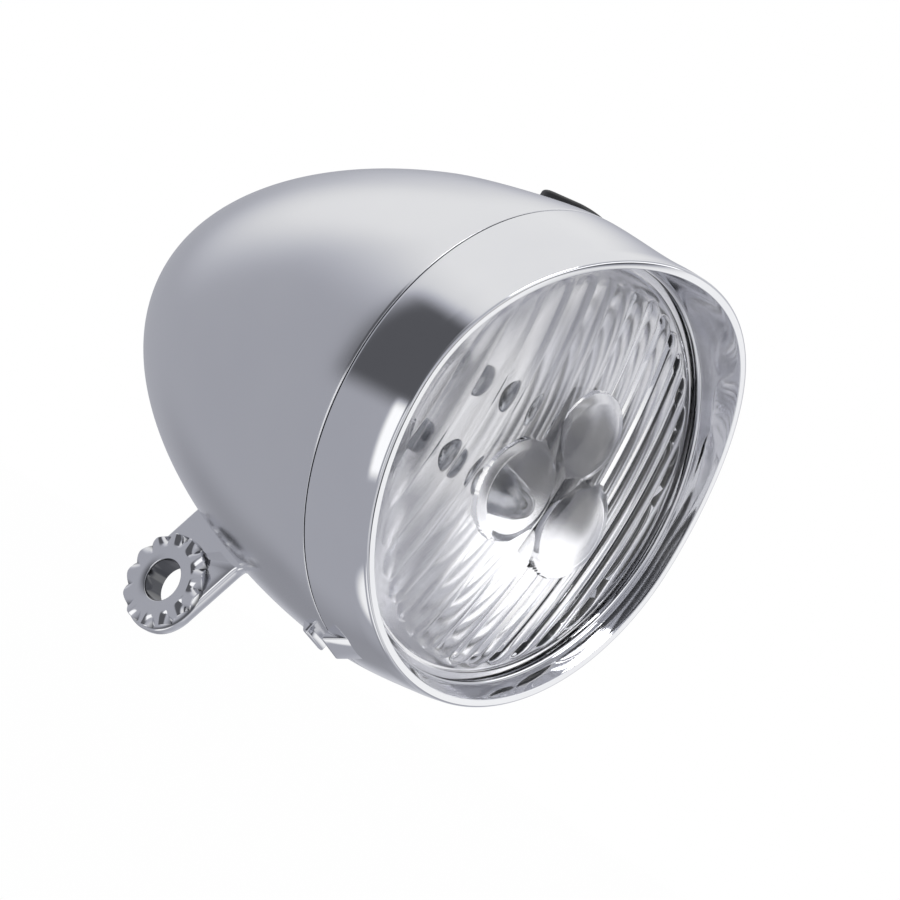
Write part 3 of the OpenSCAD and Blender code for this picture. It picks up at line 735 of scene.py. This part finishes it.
def lens_front(x, z):
    """Station of the lens's front face at x, z."""
    r2 = x * x + z * z
    y = DOME_C - np.sqrt(DOME_R ** 2 - r2)
    r = np.sqrt(r2)
    u = (x / PITCH) - np.floor(x / PITCH) - 0.5
    s = np.clip((r + FLUTE_SCALLOP * (2 * u) ** 2 - FLUTE_END + TIP_RUN) / TIP_RUN, 0, 1)
    y = y + FLUTE_RISE * (1 - (1 - (2 * u) ** 2) * np.sqrt(1 - s * s))
    for wx, wz, wr in WINDOWS:
        base = DOME_C - math.sqrt(DOME_R ** 2 - wx * wx - wz * wz) + WINDOW_SINK
        d = np.sqrt((x - wx) ** 2 + (z - wz) ** 2)
        cap = WINDOW_STEP * np.clip((wr - d) / WINDOW_EDGE, 0, 1)
        cap = cap + WINDOW_RISE * np.maximum(0, 1 - (d / (wr - WINDOW_EDGE)) ** 2)
        y = np.where(d < wr, np.minimum(y, base - cap), y)
    return y


def lens_inside(x, z):
    """Station of the lens's smooth inner face at x, z."""
    return DOME_C - np.sqrt((DOME_R - LENS_T) ** 2 - x * x - z * z)


def on_face(x, z, station):
    """Points at x, z on a face that is given by its station there."""
    return np.stack([x, station(x, z), z], -1)


def disc(radius, count, steps):
    """Grid of x and z over a disc, with finer columns towards both sides."""
    flat = np.linspace(-DISC_FLAT, DISC_FLAT, count)
    tip = np.sin(np.linspace(math.asin(DISC_FLAT), math.pi / 2, TIP_COLUMNS + 1)[1:])
    x = radius * np.concatenate([-tip[::-1], flat, tip])[:, None]
    z = np.linspace(-1, 1, steps)[None] * np.sqrt(np.maximum(radius ** 2 - x * x, 0))
    return np.broadcast_to(x, z.shape), z


def boundary(x, z):
    """Closed loop of x and z round the edge of a disc's grid."""
    bottom = np.stack([x[:, 0], z[:, 0]], -1)
    top_side = np.stack([x[:, -1], z[:, -1]], -1)[::-1]
    return np.concatenate([bottom[:-1], top_side[:-1]])


def loop_at(unit, radius, y):
    """Loop of radius 1 brought to a radius and a station."""
    return np.stack([unit[:, 0] * radius, np.full(len(unit), y), unit[:, 1] * radius], -1)


lens = Build()
front_x, front_z = disc(FRONT_R, *FRONT_GRID)
back_x, back_z = disc(BACK_R, *BACK_GRID)
lens.grid(on_face(front_x, front_z, lens_front))
lens.grid(on_face(back_x, back_z, lens_inside), flip=True)
front_loop, back_loop = boundary(front_x, front_z), boundary(back_x, back_z)
unit = front_loop / FRONT_R
rows = [on_face(*front_loop.T, lens_front),
        loop_at(unit, FRONT_R, -LENS_EDGE), loop_at(unit, LENS_R, -LENS_EDGE),
        loop_at(unit, LENS_R, LENS_BACK), loop_at(unit, BACK_R, LENS_BACK),
        on_face(*back_loop.T, lens_inside)]
lens.grid(np.array(rows), wrap_v=True)
lens.make("lens_glass", "front", "lens", ("lens",), sharp=50)

# Reflector: smooth bright bowl

BOWL_T, BOWL_FOOT, BOWL_ROWS, BOWL_TIP = 1.5, 0.9, 13, 0.01
BOWL_GRID = (330, 300)


def bowl(x, z):
    """Station of the reflector's bright face."""
    return BOWL_Y - BOWL_D * (x * x + z * z) / BOWL_R ** 2


refl = Build()
bowl_x, bowl_z = disc(BOWL_R, *BOWL_GRID)
refl.grid(on_face(bowl_x, bowl_z, bowl))
unit = boundary(bowl_x, bowl_z) / BOWL_R
rows = [loop_at(unit, BOWL_R, BOWL_Y - BOWL_D), loop_at(unit, LENS_R, FLANGE_FRONT),
        loop_at(unit, LENS_R, FLANGE_BACK), loop_at(unit, BOWL_R + BOWL_FOOT, FLANGE_BACK)]
for r in BOWL_R * np.linspace(1, 0, BOWL_ROWS):
    rows.append(loop_at(unit, max(r, BOWL_TIP), bowl(r, 0) + BOWL_T))
refl.grid(np.array(rows), wrap_v=True)
refl.make("reflector_bowl", "front", "mirror", ("reflector",), sharp=30)

# Button

CAP_BORE, CAP_FLANGE, CAP_FOOT, CAP_STEP = 1.55, 4.45, 31.1, 31.9
CAP_CORNER, CAP_SHOULDER, CAP_CROWN = 0.8, 0.6, 0.2

button = Build()
profile = [(CAP_BORE, CAP_FOOT), (CAP_FLANGE, CAP_FOOT), (CAP_FLANGE, CAP_STEP),
           (BUTTON_HALF, CAP_STEP), (BUTTON_HALF, BUTTON_TOP - CAP_CORNER)]
for a in quarter(9)[1:]:
    profile.append((BUTTON_HALF - CAP_CORNER * (1 - math.cos(a)),
                    BUTTON_TOP - CAP_CORNER + CAP_SHOULDER * math.sin(a)))
for s in np.linspace(1, 0, 9)[1:]:
    profile.append(((BUTTON_HALF - CAP_CORNER) * s, BUTTON_TOP - CAP_CROWN * s ** 2))
half_turn = np.linspace(0, math.pi, 49)
angles = np.concatenate([half_turn, half_turn + math.pi])
middle = BUTTON_Y + np.repeat([BUTTON_RUN, -BUTTON_RUN], len(half_turn))
rows = [np.stack([r * np.cos(angles), middle + r * np.sin(angles), np.full_like(angles, z)], -1)
        for r, z in profile]
button.grid(np.array(rows), wrap_v=True)
button.make("button_rubber", "button", "button", ("button_cap",), sharp=50)

# Stage, light and camera

LAMP_CENTRE = (0.0, -0.04, 0.041)
WHITE = (1, 1, 1, 1)
# Brightness of the light that falls on dull surfaces, of the tent's walls and of
# its top. The tent brightens between the elevations OPEN_FROM and OPEN_TO. Behind
# the lamp, within RIDGE_HALF of azimuth 180, it does so up to RIDGE_DROP lower.
PLAIN_LEVEL, WALL_LEVEL, TOP_LEVEL = 0.8, 0.45, 0.93
OPEN_FROM, OPEN_TO, RIDGE_HALF, RIDGE_DROP = 12, 48, 26, 18.0
WALL_TINT, TINT_END = (0.96, 0.975, 1.07, 1), 0.95
FLOOR_HALF, FLOOR_Z, FLOOR_SHOW = 6.0, -0.16, 0.985
# Panels of the light tent: middle azimuth, half width, lowest and highest
# elevation, soft edge, lean (rise per degree of azimuth), all in degrees, and
# brightness. Azimuth 0 is the beam's direction and 90 is +X.
PANELS = [
    (0, 92, -60, 70, 10, 0.0, 0.50),
    (35, 22, -52, -14, 8, 0.0, 0.85),
    (-38, 30, -60, 6, 8, 0.0, 0.74),
    (60, 24, -14, 60, 8, 0.0, 0.66),
    (56, 15, -13, 15, 4, 0.0, 1.1),
    (15, 24, 0, 36, 2, 0.25, 1.6),
    (18, 21, -19, 11, 3, 0.2, 0.07),
    (112, 26, -46, 6, 8, 0.0, 0.62),
    (-104, 23, -7, 33, 5, 0.0, 0.11),
    (-101, 11, -36, -7, 3, 0.0, 1.25),
    (57, 16, -36, -12, 6, 0.0, 0.42),
    (145, 24, -56, -22, 10, 0.0, 0.34),
    (0, 180, -90, -70, 3, 0.0, 1.1),
]


def light_tent():
    """Node group that turns a direction into the tent's brightness there."""
    tree = bpy.data.node_groups.new("light_tent", "ShaderNodeTree")
    tree.interface.new_socket(name="Direction", in_out="INPUT", socket_type="NodeSocketVector")
    tree.interface.new_socket(name="Level", in_out="OUTPUT", socket_type="NodeSocketFloat")
    tree.interface.new_socket(name="Tint", in_out="OUTPUT", socket_type="NodeSocketColor")
    entry = tree.nodes.new("NodeGroupInput")
    leave = tree.nodes.new("NodeGroupOutput")
    unit = tree.nodes.new("ShaderNodeVectorMath")
    unit.operation = "NORMALIZE"
    tree.links.new(entry.outputs["Direction"], unit.inputs[0])
    split = tree.nodes.new("ShaderNodeSeparateXYZ")
    tree.links.new(unit.outputs["Vector"], split.inputs[0])
    x, y, z = (split.outputs[k] for k in ("X", "Y", "Z"))
    degrees = math.degrees(1.0)
    elevation = calc(tree, "MULTIPLY", calc(tree, "ARCSINE", z), degrees)

    def times(value, factor):
        """Product of two sockets or numbers."""
        return calc(tree, "MULTIPLY", value, factor)

    def turn(azimuth):
        """Degrees from a given azimuth, positive towards +X at the front."""
        s, c = math.sin(math.radians(azimuth)), math.cos(math.radians(azimuth))
        side = calc(tree, "ADD", times(x, c), times(y, s))
        ahead = calc(tree, "SUBTRACT", times(x, s), times(y, c))
        return times(calc(tree, "ARCTAN2", side, ahead), degrees)

    ridge = ease(tree, calc(tree, "ABSOLUTE", turn(180)), 0, RIDGE_HALF, RIDGE_DROP, 0.0)
    opening = ease(tree, calc(tree, "ADD", elevation, ridge), OPEN_FROM, OPEN_TO)
    level = calc(tree, "ADD", WALL_LEVEL, times(opening, TOP_LEVEL - WALL_LEVEL))
    for azimuth, half, low, high, soft, lean, value in PANELS:
        angle = turn(azimuth)
        tall = calc(tree, "SUBTRACT", elevation, times(angle, lean))
        mask = times(ease(tree, tall, low - soft, low + soft),
                     ease(tree, tall, high - soft, high + soft, 1.0, 0.0))
        if half < 180:
            off = calc(tree, "ABSOLUTE", angle)
            mask = times(mask, ease(tree, off, half - soft, half + soft, 1.0, 0.0))
        change = calc(tree, "SUBTRACT", value, level)
        level = calc(tree, "ADD", level, times(mask, change))
    tree.links.new(level, leave.inputs["Level"])
    tint = colour_mix(tree, ease(tree, level, WALL_LEVEL, TINT_END))
    tint.inputs["A"].default_value = WALL_TINT
    tint.inputs["B"].default_value = WHITE
    tree.links.new(tint.outputs["Result"], leave.inputs["Tint"])
    return tree


TENT = light_tent()


def tent_light(tree, direction, colour):
    """Brightness of the tent in a direction; its tint goes to the colour socket."""
    node = tree.nodes.new("ShaderNodeGroup")
    node.node_tree = TENT
    tree.links.new(direction, node.inputs["Direction"])
    tree.links.new(node.outputs["Tint"], colour)
    return node.outputs["Level"]


def sees_tent(tree, path):
    """1 for rays off metal or through glass."""
    return calc(tree, "MAXIMUM", path.outputs["Is Glossy Ray"], path.outputs["Is Transmission Ray"])


corners = [(x * FLOOR_HALF, y * FLOOR_HALF, FLOOR_Z)
           for x, y in ((-1, -1), (1, -1), (1, 1), (-1, 1))]
floor_mesh = bpy.data.meshes.new("floor")
floor_mesh.from_pydata(corners, [], [(0, 1, 2, 3)])
floor = bpy.data.objects.new("floor", floor_mesh)
bpy.context.scene.collection.objects.link(floor)
mat = bpy.data.materials.new("floor_paper")
mat.use_nodes = True
tree = mat.node_tree
shader = tree.nodes["Principled BSDF"]
shader.inputs["Base Color"].default_value = (0.8, 0.8, 0.8, 1)
shader.inputs["Roughness"].default_value = 0.9
path = tree.nodes.new("ShaderNodeLightPath")
where = tree.nodes.new("ShaderNodeNewGeometry")
from_lamp = tree.nodes.new("ShaderNodeVectorMath")
from_lamp.operation = "SUBTRACT"
from_lamp.inputs[1].default_value = LAMP_CENTRE
tree.links.new(where.outputs["Position"], from_lamp.inputs[0])
glow = tree.nodes.new("ShaderNodeEmission")
camera_ray = path.outputs["Is Camera Ray"]
tint = colour_mix(tree, camera_ray)
tint.inputs["B"].default_value = WHITE
tree.links.new(tint.outputs["Result"], glow.inputs["Color"])
level = tent_light(tree, from_lamp.outputs["Vector"], tint.inputs["A"])
tree.links.new(calc(tree, "MAXIMUM", camera_ray, level), glow.inputs["Strength"])
mix = tree.nodes.new("ShaderNodeMixShader")
shown = calc(tree, "MAXIMUM", calc(tree, "MULTIPLY", camera_ray, FLOOR_SHOW), sees_tent(tree, path))
tree.links.new(shown, mix.inputs["Fac"])
tree.links.new(shader.outputs[0], mix.inputs[1])
tree.links.new(glow.outputs[0], mix.inputs[2])
tree.links.new(mix.outputs[0], tree.nodes["Material Output"].inputs["Surface"])
floor_mesh.materials.append(mat)

world = bpy.data.worlds.new("studio")
bpy.context.scene.world = world
world.use_nodes = True
tree = world.node_tree
coords = tree.nodes.new("ShaderNodeTexCoord")
path = tree.nodes.new("ShaderNodeLightPath")
seen = sees_tent(tree, path)
tint = colour_mix(tree, seen)
tint.inputs["A"].default_value = WHITE
tree.links.new(tint.outputs["Result"], tree.nodes["Background"].inputs["Color"])
level = tent_light(tree, coords.outputs["Generated"], tint.inputs["B"])
level = calc(tree, "ADD", calc(tree, "MULTIPLY", seen, level),
             calc(tree, "MULTIPLY", calc(tree, "SUBTRACT", 1.0, seen), PLAIN_LEVEL))
tree.links.new(calc(tree, "MAXIMUM", path.outputs["Is Camera Ray"], level),
               tree.nodes["Background"].inputs["Strength"])


def soft_light(name, place, target, size, watts):
    """Round area light that points at its target."""
    lamp = bpy.data.lights.new(name, "AREA")
    lamp.shape = "DISK"
    lamp.size = size
    lamp.energy = watts
    obj = bpy.data.objects.new(name, lamp)
    bpy.context.scene.collection.objects.link(obj)
    obj.location = place
    obj.rotation_euler = (Vector(target) - Vector(place)).to_track_quat("-Z", "Y").to_euler()


soft_light("key", place=(-0.5, -0.4, 0.9), target=(0, 0, 0.04), size=0.5, watts=3.0)

# Camera fitted to the photograph. It looks from azimuth AZ and elevation EL, turned
# by ROLL, and the middle of the seam's circle shows at pixel PX, PY.
AZ, EL, ROLL = (math.radians(v) for v in (-49.792, -3.837, 31.878))
PX, PY, FAR, PX_PER_MM = 499.569, 451.961, 400.0, 7.060
PICTURE, SENSOR = 900, 36.0
back = Vector((math.sin(AZ) * math.cos(EL), -math.cos(AZ) * math.cos(EL), math.sin(EL)))
sideways = (-back).cross(Vector((0, 0, 1))).normalized()
upright = sideways.cross(-back)
right = sideways * math.cos(ROLL) + upright * math.sin(ROLL)
up = -sideways * math.sin(ROLL) + upright * math.cos(ROLL)
shift_x, shift_y = (PX - PICTURE / 2) / PX_PER_MM, (PY - PICTURE / 2) / PX_PER_MM
eye = back * FAR - right * shift_x + up * shift_y
cam_data = bpy.data.cameras.new("camera")
cam_data.sensor_width = SENSOR
cam_data.sensor_fit = "HORIZONTAL"
cam_data.lens = PX_PER_MM * FAR / PICTURE * SENSOR
cam_data.clip_start = 0.01
cam = bpy.data.objects.new("camera", cam_data)
bpy.context.scene.collection.objects.link(cam)
place = Vector(row([eye.x, eye.y, eye.z]).tolist())
cam.matrix_world = Matrix((
    (right.x, up.x, back.x, place.x),
    (right.y, up.y, back.y, place.y),
    (right.z, up.z, back.z, place.z),
    (0, 0, 0, 1)))
bpy.context.scene.camera = cam
bpy.context.scene.view_settings.view_transform = "Standard"
